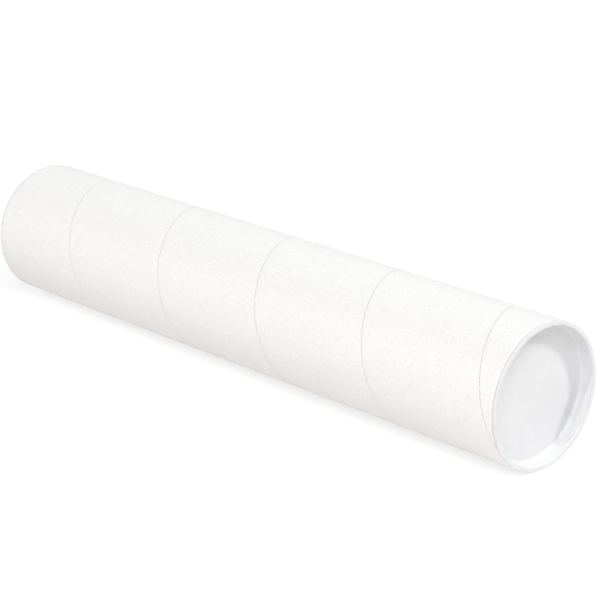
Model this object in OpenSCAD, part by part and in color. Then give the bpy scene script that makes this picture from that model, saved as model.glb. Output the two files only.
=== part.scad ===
// Mailing and drawing tube: a spiral-wound paperboard tube closed by two push-in
// plastic plugs. The tube lies along X with its lowest point on z = 0. Angles round
// the tube are measured from +Y towards +Z.

/* [Tube] */
// Inside diameter of the tube
bore_d = 76.2; // [60:0.1:110]
// Length of the paperboard, end to end
tube_length = 406.4; // [250:0.1:900]
// Thickness of the liner, the ply that faces the bore
liner_t = 0.21; // [0.15:0.01:0.8]
// Thickness of the board ply over the liner
inner_board_t = 0.5; // [0.3:0.01:1.2]
// Thickness of the board ply under the wrap
outer_board_t = 0.62; // [0.3:0.01:1.2]
// Thickness of the white outer wrap
wrap_t = 0.2; // [0.12:0.01:0.5]

/* [Winding] */
// Distance along the tube in which a strip goes once round
pitch = 82.3; // [60:0.1:120]
// Gap left between the edges of a strip, measured square to the edge
seam_gap = 0.4; // [0.2:0.05:1.5]
// Distance of the wrap's seam from the middle of the tube, along the +Y side
wrap_seam_x = 155.8; // [0:0.1:200]
// How far each ply's seam lies from that of the ply over it, as a share of the pitch
seam_stagger = 0.25; // [0.1:0.05:0.9]

/* [Plug] */
// Thickness of the flange that covers the end of the wall
flange_t = 1.2; // [1.1:0.1:2]
// How far the flange stands out past the wrap
flange_over = 0; // [0:0.05:0.6]
// Radius on the two edges of the flange
flange_edge_r = 0.45; // [0.1:0.05:0.5]
// Radius where the flange turns down into the cup
mouth_r = 0.5; // [0.4:0.1:1.2]
// Thickness of the cup's wall and floor
plug_wall = 0.9; // [0.6:0.05:1.2]
// Gap between the bore and the widest part of the skirt
plug_clear = 0.1; // [0.05:0.01:0.1]
// Depth of the cup, from the flange's face to the floor
cup_depth = 8; // [7.5:0.1:25]
// How much the cup narrows from the mouth to the floor, on the radius
cup_draft = 0.8; // [0.2:0.05:1.5]
// Radius of the fillet round the cup's floor
floor_r = 0.6; // [0.5:0.1:1.2]

/* [Sealing rings] */
// Number of rings round the skirt
ring_count = 2; // [1:1:2]
// Depth of the first ring below the flange's underside
ring_depth = 1.5; // [1:0.1:1.6]
// Distance from one ring to the next
ring_pitch = 2.6; // [2:0.1:2.8]
// Radius of a ring's section
ring_r = 0.55; // [0.4:0.05:0.8]

/* [Finger flat] */
// How far the flat's top edge stands in from the round wall, at its middle
flat_inset = 4.9; // [3:0.1:8]
// How much further in the flat stands at the cup's floor
flat_draft = 2.4; // [0.5:0.1:4]
// Depth of the ledge over the flat
flat_depth = 1; // [0.8:0.1:4]
// Angle of the middle of the near plug's flat
flat_angle = -28; // [-180:1:180]

/* [Hidden] */
$fn = 96;

// Radii through the wall, from the bore outwards
bore_r = bore_d / 2;
liner_r = bore_r + liner_t;
inner_board_r = liner_r + inner_board_t;
outer_board_r = inner_board_r + outer_board_t;
wrap_r = outer_board_r + wrap_t;
flange_r = wrap_r + flange_over;
half_length = tube_length / 2;

// Cutting shapes run this far past the faces that they cut
past = 1;

// A seam is cut in steps of this angle, and runs this far past each end of the tube
seam_step = 10;
seam_past = 7;
// Width of the seam along the tube: a seam leans, so it is more than its square gap
seam_lean = atan2(pitch, 2 * PI * wrap_r);
seam_w = seam_gap / cos(seam_lean);

// Inside radii of the cup, from the mouth to the floor
skirt_r = bore_r - plug_clear;
mouth_in_r = skirt_r - plug_wall;
floor_in_r = mouth_in_r - cup_draft;
// The skirt follows the cup's wall on the outside
skirt_end = cup_depth + plug_wall;
skirt_end_r = floor_r + plug_wall;
// Distance of the flat's top edge from the cup's axis
flat_x = mouth_in_r - flat_inset;
// How far the flat leans in for each millimetre of depth
flat_lean = flat_draft / (cup_depth - flat_depth);
// The top edge of its outside, one wall thickness behind it, measured square to its face
flat_outer_x = flat_x + plug_wall * (sqrt(1 + flat_lean * flat_lean) - flat_lean);

// Puts a shape that stands on its own axis along the tube's axis
module along_tube() {
    translate([0, 0, flange_r])
        rotate([0, 90, 0])
            children();
}

// Point on one side of a seam: the turn is the angle, and x0 is where turn 0 lies
function seam_point(turn, x0, side, r) =
    [x0 + pitch * turn / 360 + side * seam_w / 2, r * cos(turn), r * sin(turn)];

// The slit between the two edges of a strip: a thin blade that follows the helix
module seam_blade(r_in, r_out, x0) {
    first_turn = 360 * (-half_length - seam_past - x0) / pitch;
    steps = ceil(360 * (tube_length + 2 * seam_past) / pitch / seam_step);
    corners = [[-1, r_in - past], [1, r_in - past], [1, r_out + past], [-1, r_out + past]];
    points = [
        for (i = [0 : steps])
            for (c = corners)
                seam_point(first_turn + i * seam_step, x0, c[0], c[1])
    ];
    sides = [
        for (i = [0 : steps - 1])
            for (k = [0 : 3])
                let (a = 4 * i + k, b = 4 * i + (k + 1) % 4)
                    for (face = [[b + 4, b, a], [a + 4, b + 4, a]])
                        face
    ];
    last = 4 * steps;
    ends = [[0, 1, 2, 3], [last + 3, last + 2, last + 1, last]];
    polyhedron(points, concat(sides, ends));
}

// One ply: a strip wound edge to edge into a tube and cut square at both ends
module ply(r_in, r_out, x0) {
    difference() {
        along_tube()
            difference() {
                cylinder(r = r_out, h = tube_length, center = true);
                cylinder(r = r_in, h = tube_length + 2 * past, center = true);
            }
        translate([0, 0, flange_r])
            seam_blade(r_in, r_out, x0);
    }
}

// Where turn 0 of the seam lies in the ply that is this many plies under the wrap
function seam_x(under) = wrap_seam_x - under * seam_stagger * pitch;

module outer_wrap() {
    color("white")
        ply(outer_board_r, wrap_r, seam_x(0));
}

module outer_board_ply() {
    color("gainsboro")
        ply(inner_board_r, outer_board_r, seam_x(1));
}

module inner_board_ply() {
    color("gainsboro")
        ply(liner_r, inner_board_r, seam_x(2));
}

module inner_liner() {
    color("whitesmoke")
        ply(bore_r, liner_r, seam_x(3));
}

// Points on an arc of radius r about c, from angle a to angle b
function arc(c, r, a, b, steps = 8) =
    [for (i = [0 : steps]) let (t = a + (b - a) * i / steps) c + r * [cos(t), sin(t)]];

// Half section of the cup's hollow, with the flange's face on y = 0
module cup_section() {
    polygon(concat(
        [[0, past], [mouth_in_r + mouth_r, past]],
        arc([mouth_in_r + mouth_r, -mouth_r], mouth_r, 90, 180),
        arc([floor_in_r - floor_r, -cup_depth + floor_r], floor_r, 0, -90),
        [[0, -cup_depth]]
    ));
}

// Half section of the plug's outside: the flange and the skirt
module outside_section() {
    polygon(concat(
        [[0, 0]],
        arc([flange_r - flange_edge_r, -flange_edge_r], flange_edge_r, 90, 0),
        arc([flange_r - flange_edge_r, -flange_t + flange_edge_r], flange_edge_r, 0, -90),
        [[skirt_r, -flange_t]],
        arc([floor_in_r - floor_r, -skirt_end + skirt_end_r], skirt_end_r, 0, -90),
        [[0, -skirt_end]]
    ));
}

// Rings round the skirt that press on the bore and hold the plug in
module sealing_rings() {
    for (i = [0 : ring_count - 1])
        rotate_extrude()
            translate([skirt_r - ring_r, -flange_t - ring_depth - i * ring_pitch])
                circle(r = ring_r);
}

// All that lies under a ledge and beyond the leaning plane that goes down from its edge
module beyond(edge_x, depth) {
    height = skirt_end + past - depth;
    rotate([90, 0, 0])
        linear_extrude(2 * flange_r, center = true)
            translate([edge_x, -depth])
                polygon([[0, 0], [flange_r, 0], [flange_r, -height], [-flat_lean * height, -height]]);
}

// A plug as it is moulded: flange face on z = 0, cup opening upwards, flat towards +X
module plug() {
    difference() {
        union() {
            rotate_extrude()
                outside_section();
            sealing_rings();
        }
        difference() {
            rotate_extrude()
                cup_section();
            beyond(flat_x, flat_depth);
        }
        beyond(flat_outer_x, flat_depth + plug_wall);
    }
}

// The plug in the +X end: rotate() takes the flat from the mould's +X to its angle
module near_plug() {
    color("white")
        along_tube()
            translate([0, 0, half_length + flange_t])
                rotate([0, 0, flat_angle + 90])
                    plug();
}

// The plug in the other end is the same moulding, turned end for end
module far_plug() {
    color("white")
        rotate([0, 0, 180])
            along_tube()
                translate([0, 0, half_length + flange_t])
                    rotate([0, 0, flat_angle + 90])
                        plug();
}

outer_wrap();
outer_board_ply();
inner_board_ply();
inner_liner();
near_plug();
far_plug();
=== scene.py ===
import math

import bpy
import bmesh
from mathutils import Matrix, Vector


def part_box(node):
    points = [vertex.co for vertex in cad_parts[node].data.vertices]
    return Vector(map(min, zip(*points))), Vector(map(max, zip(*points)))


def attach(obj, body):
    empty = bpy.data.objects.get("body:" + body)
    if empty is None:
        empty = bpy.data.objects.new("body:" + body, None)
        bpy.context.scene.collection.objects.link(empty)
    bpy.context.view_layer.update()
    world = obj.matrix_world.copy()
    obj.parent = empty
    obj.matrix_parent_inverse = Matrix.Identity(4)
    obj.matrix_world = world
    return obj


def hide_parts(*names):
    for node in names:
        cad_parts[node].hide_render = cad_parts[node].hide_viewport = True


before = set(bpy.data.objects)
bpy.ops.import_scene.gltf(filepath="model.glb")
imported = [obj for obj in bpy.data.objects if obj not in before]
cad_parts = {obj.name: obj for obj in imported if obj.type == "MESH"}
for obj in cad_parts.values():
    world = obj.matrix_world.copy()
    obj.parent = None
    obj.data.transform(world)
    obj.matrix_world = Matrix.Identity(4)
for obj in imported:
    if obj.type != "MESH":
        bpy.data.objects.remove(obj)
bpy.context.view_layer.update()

# ---------------------------------------------------------------------------------
# Inner liner: white liner paper, the strip that is wound first and faces the bore. It
# goes round in a helix edge to edge, is glued to its neighbour and is cut square with
# the tube's ends. The node tree that winds it winds the three plies over it as well.
# ---------------------------------------------------------------------------------
MM = 0.001
PAPER_LOW, PAPER_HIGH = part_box("outer_wrap")
FLANGE_LOW, FLANGE_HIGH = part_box("near_plug")
TUBE_LENGTH = PAPER_HIGH.x - PAPER_LOW.x
TUBE_RADIUS = (PAPER_HIGH.z - PAPER_LOW.z) / 2
AXIS_HEIGHT = (FLANGE_LOW.z + FLANGE_HIGH.z) / 2
BORE_RADIUS = 38.1 * MM
LINER_RADIUS = BORE_RADIUS + 0.21 * MM
PITCH = 82.3 * MM
SEAM_GAP = 0.4 * MM / math.cos(math.atan2(PITCH, math.tau * TUBE_RADIUS))
WRAP_SEAM_X = 155.8 * MM
SEAM_STAGGER = 0.25 * PITCH
# How far in from a seam and from a saw cut the paper's face may roll down
SEAM_ROLL_WIDTH = 1.0 * MM
CUT_ROLL_WIDTH = 0.8 * MM
STEPS_A_TURN = 128
# How much the points across a strip crowd towards its edges, from 0 to 1
EDGE_CROWDING = 0.985
STRIP_WELD = 0.002 * MM
STRIP_SHARP_EDGE = math.radians(40)
LINER_LIGHT = (0.88, 0.87, 0.835, 1)
LINER_DARK = (0.80, 0.785, 0.745, 1)


def add(tree, kind, feeds=None, **settings):
    """Adds a node to a tree, and feeds its sockets with values or with other sockets."""
    node = tree.nodes.new(kind)
    for name, value in settings.items():
        setattr(node, name, value)
    for key, value in (feeds or {}).items():
        if isinstance(value, bpy.types.NodeSocket):
            tree.links.new(value, node.inputs[key])
        else:
            node.inputs[key].default_value = value
    return node


def reckon(tree, operation, a, b=0.0, c=0.0, clamp=False):
    """One sum of a formula in a node tree, as the socket that holds its result."""
    node = add(tree, "ShaderNodeMath", {0: a, 1: b, 2: c}, operation=operation, use_clamp=clamp)
    return node.outputs[0]


def winding_tree():
    """Node tree that winds one strip into a ply of the tube."""
    tree = bpy.data.node_groups.new("wind a strip", "GeometryNodeTree")
    tree.interface.new_socket("Ply", in_out="OUTPUT", socket_type="NodeSocketGeometry")
    tree.interface.new_socket("Start", in_out="INPUT", socket_type="NodeSocketGeometry")
    for name in ("Tube length", "Pitch", "Seam gap", "Seam x", "Inner radius", "Outer radius",
                 "Axis height", "Seam roll", "Seam roll width", "Cut roll", "Cut roll width"):
        tree.interface.new_socket(name, in_out="INPUT", socket_type="NodeSocketFloat")
    for name in ("Steps a turn", "Points across"):
        tree.interface.new_socket(name, in_out="INPUT", socket_type="NodeSocketInt")
    tree.interface.new_socket("Finish", in_out="INPUT", socket_type="NodeSocketMaterial")
    asked = add(tree, "NodeGroupInput").outputs
    gap = asked["Seam gap"]
    pitch = asked["Pitch"]
    half_tube = reckon(tree, "MULTIPLY", asked["Tube length"], 0.5)
    tube_end = reckon(tree, "MULTIPLY", half_tube, -1.0)
    half_gap = reckon(tree, "MULTIPLY", gap, 0.5)

    # The strip begins where its far edge crosses one end of the tube, and stops where
    # its near edge crosses the other, so both of its ends are long points.
    net_width = reckon(tree, "SUBTRACT", pitch, gap)
    near_edge_in = reckon(tree, "SUBTRACT", reckon(tree, "SUBTRACT", tube_end, half_gap),
                          asked["Seam x"])
    first_turn = reckon(tree, "DIVIDE", reckon(tree, "SUBTRACT", near_edge_in, net_width), pitch)
    turns = reckon(tree, "DIVIDE", reckon(tree, "ADD", asked["Tube length"], net_width), pitch)

    # A grid holds the strip flat. Its x is the place along the strip, and its y goes once
    # round the section: over the face, down one edge, back underneath and up the other.
    across = asked["Points across"]
    steps_along = reckon(tree, "CEIL", reckon(tree, "MULTIPLY", turns, asked["Steps a turn"]))
    round_section = reckon(tree, "MULTIPLY", across, 2.0)
    grid = add(tree, "GeometryNodeMeshGrid", {
        "Size X": 1.0, "Size Y": 1.0, "Vertices X": steps_along,
        "Vertices Y": reckon(tree, "ADD", round_section, 1.0)})
    on_grid = add(tree, "GeometryNodeInputPosition").outputs[0]
    place = add(tree, "ShaderNodeSeparateXYZ", {0: on_grid})
    along = reckon(tree, "ADD", place.outputs["X"], 0.5)
    point = reckon(tree, "ROUND", reckon(
        tree, "MULTIPLY", reckon(tree, "ADD", place.outputs["Y"], 0.5), round_section))
    back = reckon(tree, "SUBTRACT", reckon(tree, "SUBTRACT", round_section, 1.0), point)
    share = reckon(tree, "DIVIDE", reckon(tree, "MINIMUM", point, back),
                   reckon(tree, "SUBTRACT", across, 1.0), clamp=True)
    on_face = reckon(
        tree, "ADD",
        reckon(tree, "LESS_THAN", point, reckon(tree, "SUBTRACT", across, 0.5)),
        reckon(tree, "GREATER_THAN", point, reckon(tree, "SUBTRACT", round_section, 0.5)))
    # The points crowd towards both edges, where the paper rolls over.
    crowd = reckon(tree, "SINE", reckon(tree, "MULTIPLY", share, math.tau))
    share = reckon(tree, "SUBTRACT", share,
                   reckon(tree, "MULTIPLY", crowd, EDGE_CROWDING / math.tau))

    turn = reckon(tree, "ADD", first_turn, reckon(tree, "MULTIPLY", along, turns))
    near_edge = reckon(tree, "ADD", reckon(tree, "ADD", asked["Seam x"], half_gap),
                       reckon(tree, "MULTIPLY", turn, pitch))
    far_edge = reckon(tree, "ADD", near_edge, net_width)
    near_cut = reckon(tree, "MAXIMUM", near_edge, tube_end)
    far_cut = reckon(tree, "MINIMUM", far_edge, half_tube)
    width = reckon(tree, "MAXIMUM", reckon(tree, "SUBTRACT", far_cut, near_cut), 0.0)
    x = reckon(tree, "ADD", near_cut, reckon(tree, "MULTIPLY", share, width))
    x = reckon(tree, "MINIMUM", reckon(tree, "MAXIMUM", x, tube_end), half_tube)

    # The face rolls down close to a seam, and more where the saw cut the tube's ends.
    to_seam = reckon(tree, "MINIMUM", reckon(tree, "SUBTRACT", x, near_edge),
                     reckon(tree, "SUBTRACT", far_edge, x))
    to_cut = reckon(tree, "SUBTRACT", half_tube, reckon(tree, "ABSOLUTE", x))
    rolls = []
    for distance, edge in ((to_seam, "Seam roll"), (to_cut, "Cut roll")):
        reach = reckon(tree, "DIVIDE", distance, asked[edge + " width"], clamp=True)
        near_by = reckon(tree, "SUBTRACT", 1.0, reach)
        rolls.append(reckon(tree, "MULTIPLY", reckon(tree, "POWER", near_by, 3.0), asked[edge]))
    roll = reckon(tree, "MAXIMUM", rolls[0], rolls[1])
    thick = reckon(tree, "SUBTRACT", asked["Outer radius"], asked["Inner radius"])
    radius = reckon(tree, "ADD", asked["Inner radius"], reckon(
        tree, "MULTIPLY", on_face, reckon(tree, "SUBTRACT", thick, roll)))
    angle = reckon(tree, "MULTIPLY", turn, math.tau)
    y = reckon(tree, "MULTIPLY", radius, reckon(tree, "COSINE", angle))
    z = reckon(tree, "ADD", asked["Axis height"],
               reckon(tree, "MULTIPLY", radius, reckon(tree, "SINE", angle)))

    # The paper's grain follows the strip: how far along it, how far across and how deep.
    # It is marked on the flat strip, before the strip is wound.
    lean_across = reckon(tree, "SUBTRACT", x, reckon(tree, "MULTIPLY", turn, pitch))
    grain = add(tree, "ShaderNodeCombineXYZ", {
        0: reckon(tree, "MULTIPLY", angle, asked["Outer radius"]), 1: lean_across, 2: radius})
    marked = add(tree, "GeometryNodeStoreNamedAttribute", {
        "Geometry": grid.outputs["Mesh"], "Name": "strip", "Value": grain.outputs[0]},
        data_type="FLOAT_VECTOR", domain="POINT")
    wound = add(tree, "GeometryNodeSetPosition", {
        "Geometry": marked.outputs[0],
        "Position": add(tree, "ShaderNodeCombineXYZ", {0: x, 1: y, 2: z}).outputs[0]})
    real = add(tree, "GeometryNodeRealizeInstances", {"Geometry": wound.outputs[0]})
    finished = add(tree, "GeometryNodeSetMaterial", {
        "Geometry": real.outputs[0], "Material": asked["Finish"]})
    add(tree, "NodeGroupOutput", {0: finished.outputs[0]})
    return tree


WINDING = winding_tree()


def wind_ply(node, plies_under_wrap, inner, outer, finish, points_across=6, seam_roll=0.0,
             cut_roll=0.0):
    """Winds one strip, makes it a plain closed mesh and lets it stand for its CAD node."""
    strip = bpy.data.objects.new(node + "_strip", bpy.data.meshes.new(node + "_strip"))
    bpy.context.scene.collection.objects.link(strip)
    winding = strip.modifiers.new("winding", "NODES")
    winding.node_group = WINDING
    wanted = {
        "Tube length": TUBE_LENGTH,
        "Pitch": PITCH,
        "Seam gap": SEAM_GAP,
        "Seam x": WRAP_SEAM_X - plies_under_wrap * SEAM_STAGGER,
        "Inner radius": inner,
        "Outer radius": outer,
        "Axis height": AXIS_HEIGHT,
        "Seam roll": seam_roll,
        "Seam roll width": SEAM_ROLL_WIDTH,
        "Cut roll": cut_roll,
        "Cut roll width": CUT_ROLL_WIDTH,
        "Steps a turn": STEPS_A_TURN,
        "Points across": points_across,
        "Finish": finish,
    }
    for item in WINDING.interface.items_tree:
        if item.item_type == "SOCKET" and item.in_out == "INPUT" and item.name in wanted:
            winding[item.identifier] = wanted[item.name]
    wound = strip.evaluated_get(bpy.context.evaluated_depsgraph_get())
    mesh = bpy.data.meshes.new_from_object(wound)
    bpy.data.objects.remove(strip)
    shell = bmesh.new()
    shell.from_mesh(mesh)
    bmesh.ops.remove_doubles(shell, verts=shell.verts[:], dist=STRIP_WELD)
    bmesh.ops.dissolve_degenerate(shell, edges=shell.edges[:], dist=STRIP_WELD)
    bmesh.ops.recalc_face_normals(shell, faces=shell.faces[:])
    shell.to_mesh(mesh)
    shell.free()
    mesh.name = node + "_ply"
    mesh.shade_smooth()
    mesh.set_sharp_from_angle(angle=STRIP_SHARP_EDGE)
    ply = bpy.data.objects.new(node + "_ply", mesh)
    bpy.context.scene.collection.objects.link(ply)
    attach(ply, "tube")
    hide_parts(node)


def new_finish(name):
    """An empty node material, with its tree and its main shader."""
    finish = bpy.data.materials.new(name)
    finish.use_nodes = True
    tree = finish.node_tree
    return finish, tree, tree.nodes["Principled BSDF"]


def mix_colours(tree, share, dark, light):
    """A colour between two others."""
    mix = add(tree, "ShaderNodeMix", {0: share, 6: dark, 7: light}, data_type="RGBA")
    return mix.outputs[2]


# Fibres are drawn out along the strip, and weigh this much against the clouds
FIBRE_STRETCH = (0.6, 1, 1)
FIBRE_SHARE = 0.88
PAPER_ROUGH_SPREAD = 0.16


def paper_finish(name, light, dark, fibre_width, rough, fibre_height, shine=0.5):
    """Paper or board: fibres that lie mostly along the strip, cloudy where they bunch."""
    finish, tree, skin = new_finish(name)
    strip = add(tree, "ShaderNodeAttribute", attribute_name="strip", attribute_type="GEOMETRY")
    drawn_out = add(tree, "ShaderNodeMapping", {
        "Vector": strip.outputs["Vector"], "Scale": FIBRE_STRETCH})
    fibres = add(tree, "ShaderNodeTexNoise", {
        "Vector": drawn_out.outputs[0], "Scale": 0.5 / fibre_width, "Detail": 4.0,
        "Roughness": 0.6})
    clouds = add(tree, "ShaderNodeTexNoise", {
        "Vector": strip.outputs["Vector"], "Scale": 0.07 / fibre_width, "Detail": 3.0,
        "Roughness": 0.55})
    both = reckon(tree, "ADD", reckon(tree, "MULTIPLY", fibres.outputs[0], FIBRE_SHARE),
                  reckon(tree, "MULTIPLY", clouds.outputs[0], 1 - FIBRE_SHARE))
    spread = add(tree, "ShaderNodeMapRange", {"Value": both, "From Min": 0.36, "From Max": 0.64})
    tree.links.new(mix_colours(tree, spread.outputs[0], dark, light), skin.inputs["Base Color"])
    uneven = reckon(tree, "MULTIPLY_ADD", clouds.outputs[0], PAPER_ROUGH_SPREAD,
                    rough - PAPER_ROUGH_SPREAD / 2)
    tree.links.new(uneven, skin.inputs["Roughness"])
    felt = add(tree, "ShaderNodeBump", {
        "Height": fibres.outputs[0], "Strength": 1.0, "Distance": fibre_height})
    tree.links.new(felt.outputs[0], skin.inputs["Normal"])
    skin.inputs["IOR"].default_value = 1.45
    skin.inputs["Specular IOR Level"].default_value = shine
    return finish


liner_paper = paper_finish("liner_paper", LINER_LIGHT, LINER_DARK, fibre_width=0.25 * MM,
                           rough=0.78, fibre_height=0.02 * MM)
wind_ply("inner_liner", 3, BORE_RADIUS, LINER_RADIUS, liner_paper,
         points_across=12)

# ---------------------------------------------------------------------------------
# Board plies: two strips of pale grey recycled board, which give the wall most of its
# thickness. They show at the bottom of the wrap's seam, and as layers of the cut edge
# when a plug is out.
# ---------------------------------------------------------------------------------
BOARD_LIGHT = (0.66, 0.64, 0.61, 1)
BOARD_DARK = (0.46, 0.446, 0.426, 1)
INNER_BOARD_RADIUS = LINER_RADIUS + 0.5 * MM
OUTER_BOARD_RADIUS = INNER_BOARD_RADIUS + 0.62 * MM

board = paper_finish("pale_grey_board", BOARD_LIGHT, BOARD_DARK, fibre_width=0.35 * MM,
                     rough=0.9, fibre_height=0.04 * MM)
wind_ply("inner_board_ply", 2, LINER_RADIUS, INNER_BOARD_RADIUS, board)
wind_ply("outer_board_ply", 1, INNER_BOARD_RADIUS, OUTER_BOARD_RADIUS, board)

# ---------------------------------------------------------------------------------
# Outer wrap: smooth bleached kraft paper, the white skin of the tube. It is wound on
# last. Its butted edges leave the hairline that runs round the tube, and are pressed
# down a little by the belt that turns the tube on the winding machine.
# ---------------------------------------------------------------------------------
WRAP_LIGHT = (0.972, 0.967, 0.962, 1)
WRAP_DARK = (0.872, 0.867, 0.86, 1)
PRESSED_DOWN = 0.07 * MM
SAW_ROLL = 0.12 * MM

wrap_paper = paper_finish("white_wrap_paper", WRAP_LIGHT, WRAP_DARK, fibre_width=0.42 * MM,
                          rough=0.55, fibre_height=0.02 * MM, shine=0.4)
wind_ply("outer_wrap", 0, OUTER_BOARD_RADIUS, TUBE_RADIUS, wrap_paper,
         points_across=22, seam_roll=PRESSED_DOWN, cut_roll=SAW_ROLL)

# ---------------------------------------------------------------------------------
# Near plug: a cup moulded in white polyethylene and pushed into the bore. Its flange
# covers the end of the wall, two rings round its skirt grip the bore, and a half-moon
# tab across one side of its mouth, open underneath, is there for a fingertip to pull on.
# ---------------------------------------------------------------------------------
FLANGE_RADIUS = (FLANGE_HIGH.z - FLANGE_LOW.z) / 2
FLANGE_THICK = 1.2 * MM
FLANGE_EDGE_ROUND = 0.45 * MM
FLANGE_BACK_ROUND = 0.2 * MM
# The back of the flange's rim stands off the end of the wall, which it meets further in
FLANGE_RELIEF = 0.25 * MM
RELIEF_WIDTH = 1.0 * MM
RELIEF_STEP = 0.1 * MM
PLUG_WALL = 0.9 * MM
SKIRT_RADIUS = BORE_RADIUS - 0.1 * MM
CUP_RADIUS = SKIRT_RADIUS - PLUG_WALL
MOUTH_ROUND = 0.4 * MM
FOOT_RADIUS = CUP_RADIUS - 0.3 * MM
FLOOR_ROUND = 1.5 * MM
CUP_DEPTH = 8.0 * MM
# Rings of points on the flat of the floor and of the base, as shares of the radius
FLOOR_RINGS = (0.35, 0.7)
BASE_RING = 0.6
# Rows of points down the cup's wall, under the tab
WALL_ROWS = [2.4 * MM, 3.6 * MM, 4.8 * MM, 6.0 * MM]
RING_DEPTHS = (FLANGE_THICK + 1.5 * MM, FLANGE_THICK + 4.1 * MM)
RING_ROUND = 0.55 * MM
RING_ROWS = [step * 0.1 * MM for step in range(-6, 7)]
# A point that is no further out than this counts as one of the skirt's wall
ON_SKIRT = SKIRT_RADIUS + 0.01 * MM
TAB_ANGLE = math.radians(-28)
TAB_FROM_AXIS = CUP_RADIUS - 4.9 * MM
TAB_TOP = 0.55 * MM
TAB_UNDERSIDE = TAB_TOP + PLUG_WALL
# The tab thins by this on each face towards its edge, which is rounded
TAB_TAPER = 0.1 * MM
TAB_ROUND = 0.25 * MM
ROUND_SHARE = TAB_ROUND / (CUP_RADIUS - TAB_FROM_AXIS)
TAB_ROUND_STEPS = 6
# The tab's straight edge runs into the round wall with a small web at each end
TAB_WEB = 0.8 * MM
# Where the cosine of the angle from its middle is less than this, the tab is far off
TAB_FACING = 0.4
ANGLES_ROUND = 432
ARC_STEP = math.radians(11)
PLUG_WELD = 0.001 * MM
PLUG_SHARP_EDGE = math.radians(50)


def rounded(corners):
    """A half section of (radius, depth, round) corners, with an arc in place of each corner."""
    line = []
    for i, (radius, depth, round_by) in enumerate(corners):
        corner = Vector((radius, depth))
        if not round_by:
            line.append(corner)
            continue
        before = (Vector(corners[i - 1][:2]) - corner).normalized()
        after = (Vector(corners[i + 1][:2]) - corner).normalized()
        half_turn = before.angle(after) / 2
        middle = corner + (before + after).normalized() * (round_by / math.sin(half_turn))
        start = corner + before * (round_by / math.tan(half_turn)) - middle
        sweep = start.angle_signed(corner + after * (round_by / math.tan(half_turn)) - middle)
        steps = max(3, round(abs(sweep) / ARC_STEP))
        for step in range(steps + 1):
            turned = Matrix.Rotation(-sweep * step / steps, 2) @ start
            line.append(middle + turned)
    return line


def with_points(line, depths):
    """The same line with more points on it, where it crosses these depths."""
    full = [line[0]]
    for end in line[1:]:
        begin = full[-1]
        crossed = [d for d in depths if min(begin.y, end.y) < d < max(begin.y, end.y)]
        for depth in sorted(crossed, reverse=end.y < begin.y):
            full.append(begin.lerp(end, (depth - begin.y) / (end.y - begin.y)))
        full.append(end)
    return full


def cup_line():
    """Half section of the cup's hollow, from the middle of its floor to its mouth."""
    floor = [(FOOT_RADIUS * share, CUP_DEPTH, 0) for share in FLOOR_RINGS]
    line = rounded([
        (0, CUP_DEPTH, 0),
        *floor,
        (FOOT_RADIUS, CUP_DEPTH, FLOOR_ROUND),
        (CUP_RADIUS, 0, MOUTH_ROUND),
        (FLANGE_RADIUS - FLANGE_EDGE_ROUND, 0, 0),
    ])
    # How deep inside the tab its rows of points lie, from its top face and its underside
    inwards = [0, TAB_TAPER / 2]
    for step in range(TAB_ROUND_STEPS + 1):
        turn = math.radians(90 * step / TAB_ROUND_STEPS)
        inwards.append(TAB_TAPER + TAB_ROUND * (1 - math.cos(turn)))
    from_top = [TAB_TOP + inside for inside in inwards]
    from_below = [TAB_UNDERSIDE - inside for inside in inwards]
    return with_points(line, from_top + from_below + WALL_ROWS)


def skirt_line():
    """Half section of the plug's outside, from the flange's edge to the middle of its base."""
    top = FLANGE_THICK
    base = CUP_DEPTH + PLUG_WALL
    line = rounded([
        (FLANGE_RADIUS - 2 * FLANGE_EDGE_ROUND, 0, 0),
        (FLANGE_RADIUS, 0, FLANGE_EDGE_ROUND),
        (FLANGE_RADIUS, top - FLANGE_RELIEF, FLANGE_BACK_ROUND),
        (FLANGE_RADIUS - RELIEF_WIDTH, top - FLANGE_RELIEF, 0),
        (FLANGE_RADIUS - RELIEF_WIDTH - RELIEF_STEP, top, 0),
        (SKIRT_RADIUS, top, 0),
        (FOOT_RADIUS + PLUG_WALL, base, FLOOR_ROUND + PLUG_WALL),
        (FOOT_RADIUS * BASE_RING, base, 0),
        (0, base, 0),
    ])
    rows = [ring + off for ring in RING_DEPTHS for off in RING_ROWS]
    # The first corner only gives the rim's arc its direction, so it is left out
    line = with_points(line[1:], rows)
    for point in line:
        for ring in RING_DEPTHS:
            off = abs(point.y - ring)
            if off < RING_ROUND and point.x < ON_SKIRT:
                bulge = SKIRT_RADIUS - RING_ROUND + math.sqrt(RING_ROUND ** 2 - off ** 2)
                point.x = max(point.x, bulge)
    return line


def eased_least(a, b, ease):
    """The smaller of two lengths, with an eased corner where they are nearly the same."""
    share = min(max(0.5 + 0.5 * (b - a) / ease, 0), 1)
    return b + (a - b) * share - ease * share * (1 - share)


def tab_reach(inside):
    """How much of its width the tab has, this deep inside its top face or its underside."""
    if inside <= 0:
        return 0
    if inside < TAB_TAPER:
        return (1 - ROUND_SHARE) * inside / TAB_TAPER
    left = max(1 - (inside - TAB_TAPER) / TAB_ROUND, 0)
    return 1 - ROUND_SHARE * (1 - math.sqrt(1 - left * left))


def cup_radius(point, angle):
    """Radius of a point of the cup's section, at this angle from the middle of the tab."""
    facing = math.cos(angle)
    if facing < TAB_FACING:
        return point.x
    tab_edge = eased_least(point.x, TAB_FROM_AXIS / facing, TAB_WEB)
    inside = min(point.y - TAB_TOP, TAB_UNDERSIDE - point.y)
    return point.x + (tab_edge - point.x) * tab_reach(inside)


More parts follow.
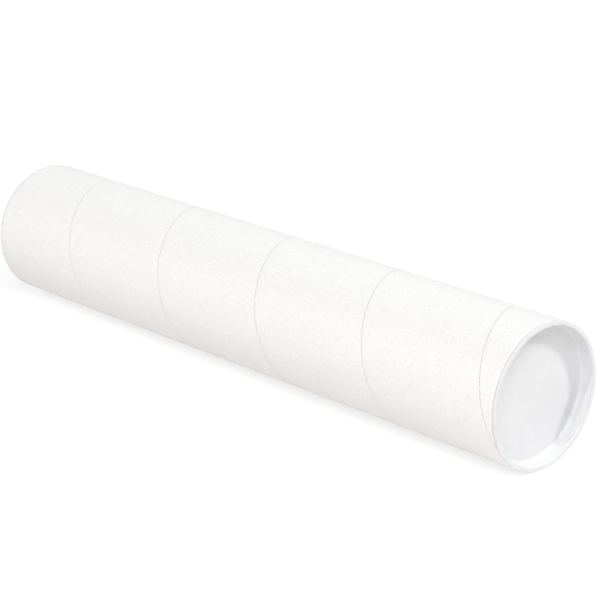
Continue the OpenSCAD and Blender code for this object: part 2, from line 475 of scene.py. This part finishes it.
def mould_plug(node, end, finish):
    """Turns the section round the tube's axis, at the +X end or, turned about, at the other."""
    inside = cup_line()
    outside = skirt_line()
    shell = bmesh.new()
    rings = []
    face_x = TUBE_LENGTH / 2 + FLANGE_THICK
    for i, point in enumerate(inside + outside):
        x = end * (face_x - point.y)
        # The section's first and last points lie on the axis
        if point.x == 0:
            rings.append([shell.verts.new((x, 0, AXIS_HEIGHT))])
            continue
        ring = []
        for step in range(ANGLES_ROUND):
            angle = math.tau * step / ANGLES_ROUND
            radius = cup_radius(point, angle) if i < len(inside) else point.x
            turned = TAB_ANGLE + angle
            y = end * radius * math.cos(turned)
            z = AXIS_HEIGHT + radius * math.sin(turned)
            ring.append(shell.verts.new((x, y, z)))
        rings.append(ring)
    for near, far in zip(rings, rings[1:]):
        for step in range(ANGLES_ROUND):
            after = (step + 1) % ANGLES_ROUND
            if len(near) == 1:
                shell.faces.new((near[0], far[after], far[step]))
            elif len(far) == 1:
                shell.faces.new((near[step], near[after], far[0]))
            else:
                shell.faces.new((near[step], near[after], far[after], far[step]))
    bmesh.ops.remove_doubles(shell, verts=shell.verts[:], dist=PLUG_WELD)
    bmesh.ops.recalc_face_normals(shell, faces=shell.faces[:])
    mesh = bpy.data.meshes.new(node + "_moulding")
    shell.to_mesh(mesh)
    shell.free()
    mesh.materials.append(finish)
    mesh.shade_smooth()
    mesh.set_sharp_from_angle(angle=PLUG_SHARP_EDGE)
    plug = bpy.data.objects.new(node + "_moulding", mesh)
    bpy.context.scene.collection.objects.link(plug)
    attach(plug, node)
    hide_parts(node)


PLASTIC_LIGHT = (0.822, 0.826, 0.842, 1)
PLASTIC_DARK = (0.797, 0.802, 0.818, 1)
PLASTIC_ROUGH = 0.33
PLASTIC_ROUGH_SPREAD = 0.14


def plastic_finish():
    """Moulded polyethylene: satin, faintly clouded, with the fine matt of an etched mould."""
    finish, tree, skin = new_finish("white_polyethylene")
    place = add(tree, "ShaderNodeTexCoord").outputs["Object"]
    cloud = add(tree, "ShaderNodeTexNoise", {
        "Vector": place, "Scale": 130.0, "Detail": 3.0, "Roughness": 0.5}).outputs[0]
    spread = add(tree, "ShaderNodeMapRange", {"Value": cloud, "From Min": 0.35, "From Max": 0.65})
    tree.links.new(mix_colours(tree, spread.outputs[0], PLASTIC_DARK, PLASTIC_LIGHT),
                   skin.inputs["Base Color"])
    etched = add(tree, "ShaderNodeTexNoise", {
        "Vector": place, "Scale": 2600.0, "Detail": 2.0, "Roughness": 0.5}).outputs[0]
    uneven = reckon(tree, "MULTIPLY_ADD", etched, PLASTIC_ROUGH_SPREAD, PLASTIC_ROUGH)
    tree.links.new(uneven, skin.inputs["Roughness"])
    matt = add(tree, "ShaderNodeBump", {
        "Height": etched, "Strength": 1.0, "Distance": 0.004 * MM})
    tree.links.new(matt.outputs[0], skin.inputs["Normal"])
    skin.inputs["IOR"].default_value = 1.5
    return finish


polyethylene = plastic_finish()
mould_plug("near_plug", 1, polyethylene)

# ---------------------------------------------------------------------------------
# Far plug: the same moulding as the near plug, turned end for end and pushed into the
# other end of the tube.
# ---------------------------------------------------------------------------------
mould_plug("far_plug", -1, polyethylene)

# ---------------------------------------------------------------------------------
# Table and light tent: a plain white sheet under the tube, which keeps its soft shadow,
# white all round, and five soft lamps. The camera sees the sheet and the tent as
# white paper.
# ---------------------------------------------------------------------------------
SHEET_HALF = 1.5
SHEET_HEIGHT = -0.05 * MM
SHEET_CORNERS = ((-1, -1), (1, -1), (1, 1), (-1, 1))
SHEET_COLOUR = (0.93, 0.895, 0.88, 1)
# What the camera sees of the sheet: a part that takes the shadow, and plain white
SHADOW_PART = (0.4, 0.4, 0.4, 1)
WHITE_PART = 0.71
WHITE = (1, 1, 1, 1)
TENT_COLOUR = (0.995, 1.0, 1.0, 1)
TENT_STRENGTH = 0.28


def seen_directly(tree):
    """1 for what the camera sees, straight or by a reflection or through something clear."""
    path = add(tree, "ShaderNodeLightPath").outputs
    either = reckon(tree, "MAXIMUM", path["Is Camera Ray"], path["Is Glossy Ray"])
    return reckon(tree, "MAXIMUM", either, path["Is Transmission Ray"])


sheet_mesh = bpy.data.meshes.new("table_sheet")
sheet_mesh.from_pydata(
    [(x * SHEET_HALF, y * SHEET_HALF, SHEET_HEIGHT) for x, y in SHEET_CORNERS],
    [], [(0, 1, 2, 3)])
table_sheet = bpy.data.objects.new("table_sheet", sheet_mesh)
bpy.context.scene.collection.objects.link(table_sheet)
sheet_paper = bpy.data.materials.new("white_sheet")
sheet_paper.use_nodes = True
tree = sheet_paper.node_tree
tree.nodes.clear()
lit = add(tree, "ShaderNodeBsdfDiffuse", {"Color": SHEET_COLOUR}).outputs[0]
shaded = add(tree, "ShaderNodeBsdfDiffuse", {"Color": SHADOW_PART}).outputs[0]
plain = add(tree, "ShaderNodeEmission", {"Color": WHITE, "Strength": WHITE_PART}).outputs[0]
as_seen = add(tree, "ShaderNodeAddShader", {0: shaded, 1: plain}).outputs[0]
chosen = add(tree, "ShaderNodeMixShader", {0: seen_directly(tree), 1: lit, 2: as_seen}).outputs[0]
add(tree, "ShaderNodeOutputMaterial", {"Surface": chosen})
sheet_mesh.materials.append(sheet_paper)

tent = bpy.data.worlds.new("light_tent")
bpy.context.scene.world = tent
tent.use_nodes = True
tree = tent.node_tree
tree.nodes.clear()
glow = add(tree, "ShaderNodeBackground", {
    "Color": TENT_COLOUR, "Strength": TENT_STRENGTH}).outputs[0]
white = add(tree, "ShaderNodeBackground", {"Color": WHITE, "Strength": 1.0}).outputs[0]
chosen = add(tree, "ShaderNodeMixShader", {0: seen_directly(tree), 1: glow, 2: white}).outputs[0]
add(tree, "ShaderNodeOutputWorld", {"Surface": chosen})


def soft_lamp(name, direction, distance, size, power):
    """A square soft box that faces the middle of the tube."""
    lamp = bpy.data.lights.new(name, "AREA")
    lamp.shape = "SQUARE"
    lamp.size = size
    lamp.energy = power
    holder = bpy.data.objects.new(name, lamp)
    towards = Vector(direction).normalized()
    holder.location = Vector((0, 0, AXIS_HEIGHT)) + towards * distance
    holder.rotation_euler = towards.to_track_quat("Z", "Y").to_euler()
    bpy.context.scene.collection.objects.link(holder)


soft_lamp("key_soft_box", (0.56, 0.55, 0.63), distance=3.0, size=0.3, power=30.0)
soft_lamp("front_soft_box", (0.50, -0.42, 0.76), distance=3.2, size=1.6, power=48.0)
soft_lamp("far_soft_box", (-0.45, -0.76, 0.50), distance=3.2, size=1.6, power=24.5)
soft_lamp("low_soft_box", (0.58, -0.80, 0.14), distance=3.2, size=1.6, power=9.0)
soft_lamp("back_soft_box", (-0.62, 0.62, 0.48), distance=3.2, size=1.6, power=6.0)

# ---------------------------------------------------------------------------------
# Camera: a long lens, above and to the side of the near end, level from side to side.
# It looks down along the tube, so that the cup and the whole barrel show.
# ---------------------------------------------------------------------------------
CAMERA_PLACE = (0.84414, -0.77677, 0.43030)
CAMERA_RIGHT = Vector((0.687955, 0.725753, 0.0))
CAMERA_UP = Vector((-0.233430, 0.221273, 0.946863))
CAMERA_BACK = Vector((0.687189, -0.651399, 0.321638))

lens = bpy.data.cameras.new("camera")
lens.lens = 127.94
lens.sensor_width = 36.0
lens.clip_start = 0.01
lens.clip_end = 50.0
camera = bpy.data.objects.new("camera", lens)
camera.matrix_world = Matrix.Translation(CAMERA_PLACE) @ Matrix(
    (CAMERA_RIGHT, CAMERA_UP, CAMERA_BACK)).transposed().to_4x4()
bpy.context.scene.collection.objects.link(camera)
bpy.context.scene.camera = camera
bpy.context.scene.view_settings.view_transform = "Standard"
